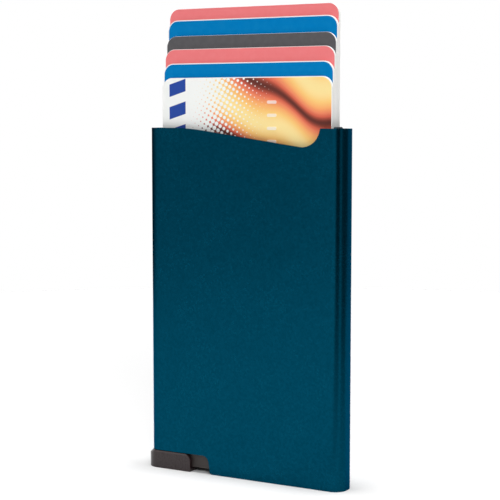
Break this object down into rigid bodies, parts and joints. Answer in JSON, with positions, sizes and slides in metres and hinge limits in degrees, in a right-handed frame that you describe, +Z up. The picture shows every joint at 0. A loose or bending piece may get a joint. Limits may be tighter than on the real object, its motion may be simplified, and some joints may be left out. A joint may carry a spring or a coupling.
{
  "type": "pop up card holder",
  "caption": "Slim metal sleeve with a thumb cut-out and a corner slide that swings a stepped lever to fan the bank cards upwards.",
  "frame": {"origin": "bottom centre of the sleeve, on the base frame's flat underside", "axes": "+Z up towards the cards, +X to the right seen from the front, away from the slide, and +Y to the back"},
  "size_m": [0.0634, 0.0092, 0.1332],
  "materials": {
    "anodised_case": "fine blasted and anodised, satin, dark teal",
    "base_plastic": "matt moulded, dark warm grey",
    "slide_plastic": "matt moulded, dark warm grey",
    "lever_plastic": "moulded, low friction",
    "pin_steel": "ground",
    "spring_steel": "drawn wire",
    "strip_plastic": "matt, dark",
    "foam": "closed-cell foam",
    "felt": "short felt",
    "card_white": "laminated, satin",
    "card_blue": "laminated, satin",
    "card_salmon": "laminated, satin",
    "card_grey": "laminated, satin"
  },
  "bodies": {
    "case": {"case_sleeve": "anodised_case", "base_frame": "base_plastic", "pivot_pin": "pin_steel", "return_spring": "spring_steel", "edge_strip_left": "strip_plastic", "edge_strip_right": "strip_plastic", "edge_foam_left": "foam", "edge_foam_right": "foam", "liner_front": "felt", "liner_rear": "felt"},
    "slide": {"finger_slide": "slide_plastic"},
    "lever": {"ejector_lever": "lever_plastic"},
    "card_1_body": {"card_1": "card_white"},
    "card_2_body": {"card_2": "card_blue"},
    "card_3_body": {"card_3": "card_salmon"},
    "card_4_body": {"card_4": "card_grey"},
    "card_5_body": {"card_5": "card_blue"},
    "card_6_body": {"card_6": "card_salmon"}
  },
  "joints": [
    {"name": "slide_travel", "type": "slide", "parent": "case", "child": "slide", "axis": [1, 0, 0], "range_m": [0, 0.0056], "stiffness_N_per_m": 120, "springref_m": -0.003, "deforming": ["return_spring"]},
    {"name": "lever_swing", "type": "hinge", "parent": "case", "child": "lever", "pos_m": [-0.026, 0, 0.01081], "axis": [0, -1, 0], "range_deg": [0, 44.17]},
    {"name": "card_1_slide", "type": "slide", "parent": "case", "child": "card_1_body", "axis": [0, 0, 1], "range_m": [-0.0151, 0]},
    {"name": "card_2_slide", "type": "slide", "parent": "case", "child": "card_2_body", "axis": [0, 0, 1], "range_m": [-0.01921, 0]},
    {"name": "card_3_slide", "type": "slide", "parent": "case", "child": "card_3_body", "axis": [0, 0, 1], "range_m": [-0.02326, 0]},
    {"name": "card_4_slide", "type": "slide", "parent": "case", "child": "card_4_body", "axis": [0, 0, 1], "range_m": [-0.02699, 0]},
    {"name": "card_5_slide", "type": "slide", "parent": "case", "child": "card_5_body", "axis": [0, 0, 1], "range_m": [-0.03155, 0]},
    {"name": "card_6_slide", "type": "slide", "parent": "case", "child": "card_6_body", "axis": [0, 0, 1], "range_m": [-0.03485, 0]}
  ],
  "couplings": [
    {"joint": "lever_swing", "follows": "slide_travel", "rad_per_m": 137.66}
  ]
}
